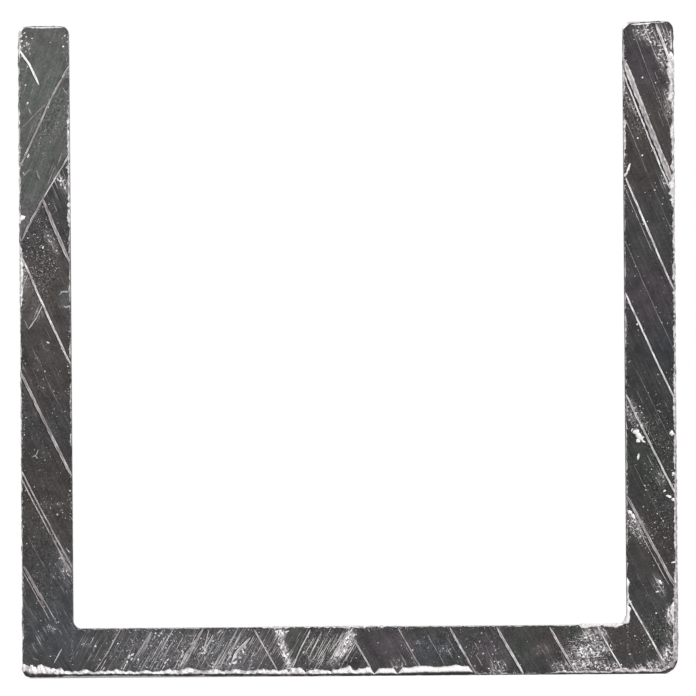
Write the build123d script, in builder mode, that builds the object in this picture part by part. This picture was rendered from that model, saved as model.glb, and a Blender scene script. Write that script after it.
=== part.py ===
"""Square U channel, extruded aluminium, sawn to length.

Two equal legs stand on a flat web. The section is constant along the whole bar, so the bar is
one solid: the section is drawn once, each group of corners gets the radius that the die leaves
there, and the section is extruded both ways from the middle of the bar. Both ends are sawn
square.

Frame, in millimetres: X across the section, Y along the bar, Z up. The bar lies on its web with
the legs up. The origin is on the underside of the web, midway along the bar and midway across it.
"""

import os
from build123d import *

# Overall size
SECTION_WIDTH = 40.0
SECTION_HEIGHT = 40.0
BAR_LENGTH = 500.0

# Walls
LEG_THICKNESS = 3.1
WEB_THICKNESS = 3.0

# Corner radii left by the die. The right heel is worn rounder than the left one.
TIP_RADIUS = 0.5
ROOT_RADIUS = 0.5
LEFT_HEEL_RADIUS = 0.6
RIGHT_HEEL_RADIUS = 0.95

# Places across the section that the corners are drawn from
OUTER_X = SECTION_WIDTH / 2
INNER_X = OUTER_X - LEG_THICKNESS
UNDERSIDE_Z = 0.0
TIP_Z = SECTION_HEIGHT
MATCH = 1e-6

PARTS_FOLDER = "parts"


def corners_at(corners, x_places, height):
    """Corners of the section at one of these distances across it and at this height.

    The section's own X runs across the bar and its own Y runs up the legs.
    """
    return corners.filter_by(
        lambda corner: abs(corner.Y - height) < MATCH
        and any(abs(corner.X - x) < MATCH for x in x_places)
    )


with BuildPart() as channel:
    with BuildSketch(Plane.XZ) as section:
        with BuildLine() as outline:
            right_half = Polyline(
                (0, UNDERSIDE_Z),
                (OUTER_X, UNDERSIDE_Z),
                (OUTER_X, TIP_Z),
                (INNER_X, TIP_Z),
                (INNER_X, WEB_THICKNESS),
                (0, WEB_THICKNESS),
            )
            mirror(right_half, about=Plane.YZ)
        make_face()

        tips = corners_at(section.vertices(), (-OUTER_X, -INNER_X, INNER_X, OUTER_X), TIP_Z)
        fillet(tips, radius=TIP_RADIUS)
        roots = corners_at(section.vertices(), (-INNER_X, INNER_X), WEB_THICKNESS)
        fillet(roots, radius=ROOT_RADIUS)
        left_heel = corners_at(section.vertices(), (-OUTER_X,), UNDERSIDE_Z)
        fillet(left_heel, radius=LEFT_HEEL_RADIUS)
        right_heel = corners_at(section.vertices(), (OUTER_X,), UNDERSIDE_Z)
        fillet(right_heel, radius=RIGHT_HEEL_RADIUS)
    extrude(amount=BAR_LENGTH / 2, both=True)

channel.part.label = "u_channel"

os.makedirs(PARTS_FOLDER, exist_ok=True)
export_step(channel.part, f"{PARTS_FOLDER}/{channel.part.label}.step")
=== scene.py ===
"""Looks of a square aluminium U channel: one bar, seen square on at a sawn end.

The bar lies along Y on its web. Both ends carry the coarse marks of a large cut-off saw, torn
patches, burrs along the edges and swarf, and the long faces have a mill finish. The larger marks on
the front end, at -Y, are placed one by one. Those on the back end follow the feed of the saw.

Places on a sawn end are given as someone who faces that end sees them: x to the right and z up,
both from the middle of the underside, and lift towards that person, all in millimetres.
"""

import math
from collections import namedtuple

import bpy
import numpy as np
from bpy.props import FloatProperty, FloatVectorProperty, PointerProperty
from mathutils import Matrix, Vector


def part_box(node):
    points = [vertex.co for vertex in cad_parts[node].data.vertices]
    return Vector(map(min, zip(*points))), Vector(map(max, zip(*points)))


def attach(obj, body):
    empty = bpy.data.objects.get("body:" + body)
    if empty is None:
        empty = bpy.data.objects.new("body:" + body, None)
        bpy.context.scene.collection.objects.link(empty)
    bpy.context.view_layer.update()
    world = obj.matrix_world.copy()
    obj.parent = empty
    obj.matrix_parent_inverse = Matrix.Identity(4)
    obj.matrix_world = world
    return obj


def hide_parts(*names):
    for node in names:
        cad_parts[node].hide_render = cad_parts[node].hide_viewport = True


bl_info = {
    "name": "Aluminium U channel",
    "version": (1, 0, 0),
    "blender": (4, 5, 0),
    "location": "View3D > Sidebar > Channel",
    "description": "Dresses a sawn bar of aluminium U channel with saw marks, burrs and a mill finish",
    "category": "Add Mesh",
}

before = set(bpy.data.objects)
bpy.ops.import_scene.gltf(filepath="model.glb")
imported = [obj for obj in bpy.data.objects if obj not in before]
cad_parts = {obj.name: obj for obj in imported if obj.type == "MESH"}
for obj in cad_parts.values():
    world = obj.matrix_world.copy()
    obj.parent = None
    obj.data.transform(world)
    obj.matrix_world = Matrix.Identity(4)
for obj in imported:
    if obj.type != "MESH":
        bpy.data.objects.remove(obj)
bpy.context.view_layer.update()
NODE = "u_channel"
BODY = "root"
LOW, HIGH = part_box(NODE)

MM = 0.001

# The section and the bar, in millimetres
HALF_WIDTH = (HIGH.x - LOW.x) / 2 / MM
HALF_LENGTH = (HIGH.y - LOW.y) / 2 / MM
HEIGHT = (HIGH.z - LOW.z) / MM
LEG = 3.1
WEB = 3.0
INNER_HALF = HALF_WIDTH - LEG
TIP_RADIUS = 0.5
ROOT_RADIUS = 0.5
LEFT_HEEL_RADIUS = 0.6
RIGHT_HEEL_RADIUS = 0.95
# How far the worn tips of the legs stand under the full height
LEFT_TIP_DROP = 0.20
RIGHT_TIP_DROP = 0.18
# Points along the round of a tip, and along that of a root or heel
TIP_POINTS = 7
CORNER_POINTS = 12

# The teeth of the saw follow arcs of this radius, whose centres are this high
BLADE_RADIUS = 250.0
BLADE_HEIGHT = 124.0

# How much of the ragged edge is left at each depth behind a sawn end
RAGGED_RINGS = ((0.05, 0.8), (0.15, 0.5), (0.35, 0.2), (0.8, 0.0), (2.5, 0.0))
# How far into a sawn end its ragged sides push the metal, and how many rows its ragged tips do
RAGGED_REACH = 0.5
TIP_REACH = 6
# Equal spans along the bar between the last rings of its two ends
LONG_SPANS = 6
# Cells after which the noise repeats
NOISE_GRID = 256
# How far from an edge specks and crumbs gather
FRINGE = 0.4

# A saw mark follows the arc that meets the underside at foot, from low to high
SawMark = namedtuple("SawMark", "foot low high width tone")
# A scratch runs through its points
Scratch = namedtuple("Scratch", "points width tone")
# A hatch is a bundle of fine scratches in an ellipse, turned by turn degrees from the arcs
Hatch = namedtuple("Hatch", "x z wide high count length turn tone")
# A patch is an ellipse whose long axis is turned by angle degrees from x
Patch = namedtuple("Patch", "x z long short angle strength")
# A tint is a round cloud of colour over the charcoal, which it also makes lighter or darker
Tint = namedtuple("Tint", "x z reach colour level")
# An area is where the blade's arcs rise to the right instead of falling, and how light it is
Area = namedtuple("Area", "outline level")
# A burr follows an edge through its points, with the metal on the left, and reaches inward
Burr = namedtuple("Burr", "points width lift tone")
# A chip is one larger piece of swarf
Chip = namedtuple("Chip", "x z long short angle tone")
# A dent pushes the edge in within an ellipse
Dent = namedtuple("Dent", "x z wide high push")
# Everything on one sawn end, whose side is -1 at the front and 1 at the back
SawnEnd = namedtuple(
    "SawnEnd",
    "name side seed marks scratches hatches rising torn specks tints burrs chips dents crumbs",
)

# Tints, as factors on the charcoal's red, green and blue
GREENISH = (0.95, 1.06, 0.97)
BROWNISH = (1.06, 0.99, 0.93)
BLUISH = (0.93, 1.01, 1.09)
VIOLET = (1.05, 0.96, 1.06)
PLAIN = (1.0, 1.0, 1.0)

FRONT_MARKS = (
    SawMark(37.2, 36.6, 40.0, 0.22, 0.84),
    SawMark(34.44, 29.6, 37.6, 0.46, 0.70),
    SawMark(34.12, 29.6, 36.9, 0.16, 0.88),
    SawMark(31.72, 23.4, 30.3, 0.165, 0.88),
    SawMark(31.42, 25.8, 30.0, 0.06, 0.62),
    SawMark(28.67, 16.6, 23.4, 0.155, 0.86),
    SawMark(25.84, 10.5, 17.4, 0.17, 0.78),
    SawMark(22.82, 4.9, 11.1, 0.24, 0.60),
    SawMark(22.48, 5.4, 8.8, 0.07, 0.66),
    SawMark(19.55, 0.6, 4.8, 0.15, 0.86),
    SawMark(16.74, 0.0, 3.0, 0.13, 0.84),
    SawMark(13.82, 0.0, 3.1, 0.20, 0.70),
    SawMark(10.58, 0.0, 3.1, 0.22, 0.74),
    SawMark(7.71, 0.0, 3.1, 0.17, 0.74),
    SawMark(4.57, 0.4, 3.1, 0.12, 0.60),
    SawMark(4.40, 0.5, 2.6, 0.05, 0.50),
    SawMark(1.50, 0.4, 2.5, 0.15, 0.66),
    SawMark(-4.23, 0.4, 2.9, 0.11, 0.74),
    SawMark(-4.31, 25.2, 29.4, 0.28, 0.62),
    SawMark(-7.08, 19.0, 26.1, 0.18, 0.82),
    SawMark(-10.33, 12.0, 18.8, 0.25, 0.58),
    SawMark(-13.22, 6.6, 12.8, 0.12, 0.62),
    SawMark(-13.46, 6.4, 12.2, 0.10, 0.66),
    SawMark(-16.12, 4.6, 6.9, 0.24, 0.52),
    SawMark(-16.02, 3.3, 5.2, 0.08, 0.60),
    SawMark(-16.34, 3.5, 6.9, 0.08, 0.56),
    # Fainter ones between them
    SawMark(35.65, 33.2, 39.4, 0.07, 0.45),
    SawMark(33.15, 30.6, 33.9, 0.06, 0.48),
    SawMark(33.15, 26.8, 30.0, 0.05, 0.40),
    SawMark(30.05, 19.5, 26.5, 0.06, 0.46),
    SawMark(27.20, 13.8, 18.6, 0.05, 0.38),
    SawMark(24.20, 8.9, 12.8, 0.05, 0.40),
    SawMark(20.90, 3.4, 6.2, 0.05, 0.34),
    SawMark(9.70, 0.6, 2.7, 0.05, 0.42),
    SawMark(6.12, 0.5, 2.5, 0.06, 0.56),
    SawMark(-8.97, 16.2, 18.5, 0.05, 0.42),
    SawMark(-14.90, 6.8, 8.7, 0.06, 0.46),
)

FRONT_SCRATCHES = (
    # Left leg
    Scratch(((-19.95, 38.4), (-19.3, 37.45), (-18.75, 36.2)), 0.22, 1.0),
    Scratch(((-16.9, 37.4), (-18.1, 35.2), (-20.0, 31.1)), 0.17, 0.62),
    Scratch(((-17.2, 36.9), (-18.3, 35.1), (-20.0, 33.4)), 0.07, 0.52),
    Scratch(((-16.95, 31.9), (-17.8, 30.5), (-18.55, 29.3)), 0.12, 0.76),
    Scratch(((-18.55, 29.3), (-19.3, 27.9), (-19.95, 26.6)), 0.20, 0.62),
    Scratch(((-18.6, 22.8), (-19.0, 22.0), (-19.5, 21.3)), 0.09, 0.74),
    Scratch(((-17.35, 36.1), (-17.0, 35.6)), 0.07, 0.66),
    Scratch(((-16.95, 31.9), (-17.3, 31.35)), 0.24, 0.80),
    Scratch(((-19.4, 34.8), (-19.2, 34.4)), 0.06, 0.64),
    Scratch(((-19.75, 21.9), (-19.5, 21.3)), 0.06, 0.60),
    Scratch(((-17.62, 23.35), (-17.42, 23.60), (-17.0, 23.55)), 0.11, 0.68),
    Scratch(((-17.35, 22.72), (-17.15, 22.62), (-16.95, 22.78)), 0.12, 0.80),
    Scratch(((-17.68, 23.2), (-17.66, 22.95)), 0.06, 0.36),
    Scratch(((-19.35, 13.5), (-19.1, 13.6), (-18.95, 13.95)), 0.06, 0.72),
    Scratch(((-19.12, 13.6), (-19.0, 13.38)), 0.05, 0.62),
    Scratch(((-19.75, 30.6), (-19.5, 30.95), (-19.2, 31.1)), 0.08, 0.66),
    Scratch(((-18.95, 31.0), (-18.7, 30.3)), 0.20, 0.52),
    # Left half of the web
    Scratch(((-17.6, 1.8), (-18.1, 0.9)), 0.08, 0.80),
    Scratch(((-14.0, 3.0), (-14.8, 1.55), (-15.6, 0.4)), 0.10, 0.66),
    Scratch(((-12.1, 2.8), (-13.0, 1.3)), 0.08, 0.70),
    Scratch(((-13.65, 0.9), (-13.9, 0.4)), 0.09, 0.84),
    Scratch(((-11.3, 0.8), (-11.5, 0.45)), 0.09, 0.90),
    Scratch(((-9.2, 2.5), (-9.9, 1.6), (-10.4, 0.6)), 0.18, 0.74),
    Scratch(((-8.95, 3.0), (-9.8, 1.5)), 0.20, 0.62),
    Scratch(((-8.6, 2.9), (-8.95, 1.7), (-8.7, 1.5)), 0.09, 0.84),
    Scratch(((-7.85, 2.9), (-8.15, 2.6)), 0.16, 0.72),
    Scratch(((-6.85, 2.95), (-7.8, 1.2), (-8.2, 0.6)), 0.11, 0.64),
    Scratch(((-6.35, 2.95), (-7.45, 1.35)), 0.08, 0.60),
    Scratch(((-6.1, 2.4), (-7.0, 1.4), (-7.3, 0.7)), 0.24, 0.78),
    Scratch(((-5.8, 2.4), (-6.5, 1.3)), 0.07, 0.58),
    Scratch(((-2.4, 2.85), (-3.0, 1.7), (-3.55, 0.5)), 0.11, 0.82),
    Scratch(((-1.3, 2.5), (-2.3, 0.6)), 0.06, 0.52),
    Scratch(((0.2, 2.95), (-0.5, 2.0), (-1.1, 0.9)), 0.14, 0.78),
    Scratch(((-0.3, 2.7), (-0.75, 2.1), (-1.3, 1.4)), 0.12, 0.62),
)

FRONT_HATCHES = (
    Hatch(-13.5, 1.6, 3.5, 1.3, 24, 1.3, 0, 0.72),
    Hatch(-8.5, 1.6, 4.5, 1.3, 44, 1.8, 0, 0.78),
    Hatch(-3.8, 1.6, 2.6, 1.3, 30, 1.6, 0, 0.82),
    Hatch(-1.0, 1.8, 1.6, 1.1, 24, 1.5, 0, 0.85),
    Hatch(-0.3, 2.0, 0.7, 0.9, 26, 0.9, 0, 0.98),
    Hatch(-17.4, 6.6, 0.4, 1.5, 14, 0.6, 10, 0.60),
    Hatch(-6.5, 1.2, 1.6, 0.9, 10, 0.6, -50, 0.75),
    Hatch(-18.3, 4.5, 1.3, 2.6, 24, 0.7, 0, 0.52),
    Hatch(-18.6, 2.0, 1.0, 1.2, 10, 0.5, 40, 0.52),
    Hatch(-18.8, 35.5, 0.9, 3.0, 7, 1.2, 0, 0.60),
    Hatch(-17.6, 30.0, 0.5, 1.8, 14, 1.4, 0, 0.65),
    Hatch(-18.6, 19.0, 1.2, 4.0, 8, 1.2, 0, 0.52),
    Hatch(14.5, 1.4, 1.3, 1.1, 44, 0.6, 60, 0.90),
    Hatch(8.6, 1.4, 1.2, 0.8, 8, 1.0, 0, 0.60),
    Hatch(18.2, 34.0, 1.1, 3.5, 6, 1.2, 0, 0.55),
    Hatch(18.4, 13.0, 1.2, 6.0, 8, 1.2, 0, 0.55),
)

FRONT_RISING = (
    Area(((-20.5, 25.6), (-18.55, 29.3), (-16.95, 31.9), (-16.5, 32.7), (-16.5, 41), (-20.5, 41)), 1.85),
    Area(((-17, -1), (-17, 4), (-0.4, 4), (2.0, -1)), 1.15),
    Area(((-20.5, 21.0), (-19.5, 21.3), (-18.6, 22.8), (-19.9, 25.6), (-20.5, 26)), 1.35),
)

FRONT_TORN = (
    # Left heel and left half of the web
    Patch(-9.5, 1.5, 9.0, 2.4, 0, 0.34),
    Patch(-18.3, 3.0, 0.6, 0.4, 0, 0.40),
    Patch(-19.1, 2.1, 0.9, 0.4, 70, 0.35),
    Patch(-16.1, 2.1, 0.6, 0.5, -40, 0.40),
    Patch(-11.6, 2.5, 0.9, 0.6, 0, 0.50),
    Patch(-10.1, 1.4, 1.7, 0.45, 58, 0.65),
    Patch(-9.0, 1.6, 0.6, 0.5, 0, 0.70),
    Patch(-7.0, 1.3, 1.7, 0.60, 50, 0.75),
    Patch(-8.1, 0.7, 1.2, 0.5, 20, 0.60),
    Patch(-4.28, 2.6, 0.55, 0.45, 0, 0.95),
    Patch(-3.98, 1.4, 1.9, 0.46, -73, 0.95),
    Patch(-2.4, 1.0, 0.5, 0.4, 0, 0.55),
    Patch(-0.3, 1.9, 1.7, 0.60, 58, 1.0),
    Patch(-0.9, 1.2, 1.0, 0.5, 50, 0.70),
    # Right half of the web
    Patch(2.9, 0.7, 0.7, 0.7, 0, 0.50),
    Patch(4.2, 2.0, 0.4, 0.2, 0, 0.45),
    Patch(5.9, 1.6, 0.6, 0.7, 0, 0.40),
    Patch(9.0, 0.4, 1.0, 0.7, 30, 0.60),
    Patch(11.6, 1.5, 1.0, 0.5, 10, 0.35),
    Patch(12.9, 0.5, 1.0, 0.5, 0, 0.60),
    Patch(14.6, 1.4, 1.9, 0.8, 10, 0.80),
    Patch(14.9, 2.4, 1.4, 0.7, 0, 0.75),
    Patch(14.2, 0.6, 1.8, 0.5, 10, 0.80),
    Patch(15.6, 0.5, 1.5, 0.5, 0, 0.75),
    # Right leg and its heel
    Patch(18.4, 0.5, 1.8, 0.5, 12, 0.70),
    Patch(19.3, 1.2, 1.2, 0.6, 60, 0.75),
    Patch(19.5, 3.6, 1.0, 0.32, 93, 0.85),
    Patch(19.4, 2.1, 0.9, 0.35, 80, 0.50),
    Patch(17.4, 15.9, 1.2, 0.55, -65, 0.55),
    Patch(17.4, 9.2, 1.5, 0.60, -65, 0.55),
    Patch(18.9, 5.4, 1.1, 0.5, -60, 0.60),
    Patch(19.0, 12.0, 0.7, 0.5, -60, 0.50),
    Patch(17.3, 35.0, 1.3, 0.35, -65, 0.45),
    Patch(18.5, 39.0, 1.6, 0.9, -20, 0.65),
    Patch(19.4, 38.4, 1.8, 0.7, 90, 0.70),
    Patch(19.15, 37.5, 1.5, 0.35, -68, 0.65),
    Patch(19.7, 35.0, 2.0, 0.5, 90, 0.60),
    Patch(19.5, 30.5, 1.2, 0.5, 90, 0.55),
    # Left leg
    Patch(-17.35, 30.2, 1.1, 0.45, -60, 0.70),
    Patch(-18.0, 26.6, 1.3, 0.30, -65, 0.60),
    Patch(-19.7, 24.3, 1.6, 0.45, 90, 0.50),
    Patch(-18.9, 22.2, 0.7, 0.5, 60, 0.35),
    Patch(-17.2, 23.6, 0.5, 0.15, 0, 0.60),
    Patch(-17.2, 22.7, 0.5, 0.12, 0, 0.60),
    Patch(-17.7, 10.6, 0.5, 0.3, 0, 0.40),
    Patch(-17.4, 6.8, 1.4, 0.5, -80, 0.50),
    Patch(-19.6, 38.6, 1.2, 0.5, -60, 0.45),
    Patch(-17.3, 39.0, 0.6, 0.5, 0, 0.35),
)

FRONT_SPECKS = (
    Patch(-18.6, 26.0, 5.0, 1.8, 90, 0.55),
    Patch(-18.6, 16.0, 6.0, 1.8, 90, 0.25),
    Patch(-18.6, 8.0, 6.0, 1.8, 90, 0.35),
    Patch(-18.0, 34.0, 3.5, 1.2, 60, 0.40),
    Patch(-10.0, 1.5, 8.0, 1.9, 0, 0.55),
    Patch(-1.5, 1.5, 3.0, 1.9, 0, 0.60),
    Patch(6.0, 1.8, 5.0, 1.7, 0, 0.35),
    Patch(14.5, 1.5, 3.0, 1.9, 0, 0.70),
    Patch(18.6, 2.5, 2.2, 1.8, 40, 0.50),
    Patch(19.0, 12.0, 8.0, 1.3, 90, 0.45),
    Patch(17.6, 15.5, 2.5, 0.9, -65, 0.80),
    Patch(17.6, 9.0, 2.5, 0.9, -65, 0.80),
    Patch(19.4, 36.5, 4.5, 0.8, 90, 0.40),
    Patch(17.5, 34.0, 2.0, 0.6, -65, 0.60),
)

FRONT_TINTS = (
    Tint(18.5, 37, 8, PLAIN, 0.92),
    Tint(18.5, 15, 18, PLAIN, 0.78),
    Tint(-18.5, 14, 10, PLAIN, 0.90),
    Tint(-18.5, 34, 8, PLAIN, 0.97),
    Tint(0, 1.5, 14, PLAIN, 1.03),
    Tint(-14, 1.5, 6, PLAIN, 0.95),
    Tint(-18.5, 36, 5, GREENISH, 1.05),
    Tint(-19, 31, 3, GREENISH, 0.95),
    Tint(-18.5, 24, 4, BROWNISH, 1.15),
    Tint(-17.2, 23.1, 0.7, BLUISH, 1.45),
    Tint(-18.2, 19, 4, BROWNISH, 1.05),
    Tint(-18.6, 11, 5, BROWNISH, 1.00),
    Tint(-17.3, 6.6, 1.5, BLUISH, 1.35),
    Tint(-17.8, 3, 4, BLUISH, 1.15),
    Tint(-12, 1.5, 4, BLUISH, 1.10),
    Tint(-7, 1.5, 3, BLUISH, 1.15),
    Tint(-5.2, 1.6, 0.9, BROWNISH, 0.80),
    Tint(-3, 1.8, 1.5, GREENISH, 0.95),
    Tint(-1.7, 1.4, 1.2, GREENISH, 0.95),
    Tint(0.1, 0.9, 0.9, VIOLET, 0.55),
    Tint(2.6, 1.8, 2.2, VIOLET, 1.25),
    Tint(4.6, 1.6, 1.6, BLUISH, 1.15),
    Tint(6.0, 1.6, 1.3, BLUISH, 0.85),
    Tint(8.4, 1.6, 1.6, VIOLET, 1.25),
    Tint(10.2, 1.6, 1.6, GREENISH, 1.05),
    Tint(12, 2, 2, BROWNISH, 1.00),
    Tint(14, 2.4, 1.2, GREENISH, 1.05),
    Tint(17.2, 2, 2, BROWNISH, 1.05),
    Tint(18.7, 2.6, 1.6, GREENISH, 1.00),
    Tint(19.4, 0.8, 1.3, VIOLET, 1.70),
    Tint(18.3, 37, 3, VIOLET, 1.15),
    Tint(18.3, 34, 3, BROWNISH, 1.15),
    Tint(17.6, 31, 3, BROWNISH, 1.00),
    Tint(18.5, 23, 3, VIOLET, 1.05),
    Tint(19.4, 20, 2.5, BLUISH, 1.00),
    Tint(18, 13, 4, GREENISH, 1.00),
    Tint(18.5, 8, 3, BROWNISH, 0.98),
)

FRONT_BURRS = (
    # Along the underside
    Burr(
        ((-19.98, 0.90), (-19.94, 0.50), (-19.80, 0.29), (-19.50, 0.18), (-18.9, 0.17)),
        0.62, 0.18, 0.87,
    ),
    Burr(((-17.9, 0.21), (-14.0, 0.20), (-10.8, 0.17)), 0.25, 0.14, 0.93),
    Burr(((-11.6, 0.17), (-5.0, 0.13)), 0.42, 0.16, 0.90),
    Burr(((-5.4, 0.13), (-3.6, 0.11)), 0.38, 0.16, 0.95),
    Burr(((-3.9, 0.10), (-1.0, 0.10)), 0.44, 0.18, 0.91),
    Burr(((-1.3, 0.10), (1.5, 0.10)), 0.48, 0.18, 0.94),
    Burr(((1.45, 0.11), (2.90, 0.10)), 0.38, 0.16, 1.0),
    Burr(((2.90, 0.12), (7.48, 0.17)), 0.50, 0.18, 1.0),
    Burr(((7.6, 0.05), (13.0, 0.05)), 0.10, 0.06, 0.62),
    Burr(((12.9, 0.08), (15.6, 0.08)), 0.16, 0.08, 0.85),
    # Round the right heel and up the outer edge of the right leg
    Burr(((12.4, 0.08), (16.4, 0.08)), 0.14, 0.06, 0.74),
    Burr(((15.8, 0.07), (19.0, 0.09), (19.60, 0.34), (19.91, 0.95), (19.97, 2.0)), 0.32, 0.07, 0.74),
    Burr(((19.99, 1.4), (19.99, 17.6)), 0.15, 0.07, 0.80),
    Burr(((19.98, 1.6), (19.98, 6.4)), 0.24, 0.09, 0.74),
    Burr(((19.78, 2.9), (19.76, 4.4)), 0.26, 0.12, 0.93),
    Burr(((19.78, 1.5), (19.78, 3.0)), 0.09, 0.10, 0.90),
    Burr(((19.91, 5.0), (19.91, 17.4)), 0.09, 0.10, 0.95),
    Burr(((19.97, 17.0), (19.97, 28.8)), 0.12, 0.07, 0.85),
    Burr(((19.97, 28.4), (19.97, 30.6)), 0.34, 0.14, 0.93),
    Burr(((19.96, 30.4), (19.96, 35.2)), 0.16, 0.10, 0.86),
    Burr(((19.95, 34.8), (19.95, 37.4), (19.85, 38.0)), 0.44, 0.16, 0.93),
    Burr(((19.90, 38.0), (19.85, 39.4)), 0.16, 0.10, 0.88),
    # Tip of the right leg
    Burr(((19.6, 39.80), (18.6, 39.77)), 0.09, 0.07, 0.92),
    Burr(((18.7, 39.74), (17.4, 39.66)), 0.13, 0.08, 0.97),
    # Down the inner edge of the right leg, and the root beside it
    Burr(((16.93, 38.9), (16.93, 35.3)), 0.08, 0.06, 0.84),
    Burr(((16.93, 34.3), (16.93, 31.4)), 0.10, 0.07, 0.88),
    Burr(((16.93, 30.0), (16.93, 6.2)), 0.06, 0.05, 0.70),
    Burr(((16.92, 5.9), (16.93, 5.0)), 0.20, 0.12, 0.97),
    Burr(((16.93, 5.2), (16.93, 4.0)), 0.10, 0.08, 0.92),
    Burr(((16.91, 4.3), (16.93, 3.7), (16.80, 3.28), (16.5, 3.06)), 0.22, 0.14, 0.97),
    Burr(((16.7, 3.04), (13.9, 3.04)), 0.25, 0.12, 1.0),
    # Along the top of the web
    Burr(((13.9, 3.00), (3.0, 3.00)), 0.05, 0.05, 0.80),
    Burr(((3.2, 3.04), (-5.6, 3.04)), 0.11, 0.07, 0.93),
    Burr(((-5.4, 3.01), (-16.2, 3.01)), 0.05, 0.05, 0.80),
    # Up the inner edge of the left leg
    Burr(((-16.93, 14.0), (-16.93, 27.3)), 0.07, 0.06, 0.76),
    Burr(((-16.93, 27.0), (-16.93, 31.6)), 0.15, 0.09, 0.90),
    Burr(((-16.93, 31.4), (-16.93, 35.3)), 0.12, 0.08, 0.86),
    # Tip and outer edge of the left leg
    Burr(((-17.2, 39.74), (-19.6, 39.74)), 0.09, 0.07, 0.97),
    Burr(((-19.94, 39.2), (-19.97, 37.6)), 0.14, 0.08, 0.90),
    Burr(((-19.98, 37.4), (-19.98, 27.4)), 0.07, 0.06, 0.84),
    Burr(((-19.97, 27.0), (-19.97, 22.6)), 0.15, 0.08, 0.84),
    Burr(((-19.98, 22.4), (-19.98, 1.4)), 0.05, 0.05, 0.74),
    # The thick burr at the left heel, as it thins out to the right
    Burr(((-19.4, 0.18), (-18.0, 0.18)), 0.60, 0.17, 0.87),
    Burr(((-18.6, 0.18), (-17.3, 0.18)), 0.48, 0.15, 0.87),
)

FRONT_DENTS = (
    Dent(-20.0, 39.4, 0.55, 0.55, (0.22, -0.10)),
    Dent(-19.6, 39.8, 0.40, 0.40, (0.10, -0.10)),
    Dent(17.0, 39.7, 0.60, 0.60, (0.08, -0.08)),
    Dent(17.5, 39.9, 1.30, 1.30, (0.0, -0.10)),
    # The underside is worn higher towards the left heel
    Dent(-20.0, 0.0, 22.0, 2.8, (0.0, 0.13)),
)

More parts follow.
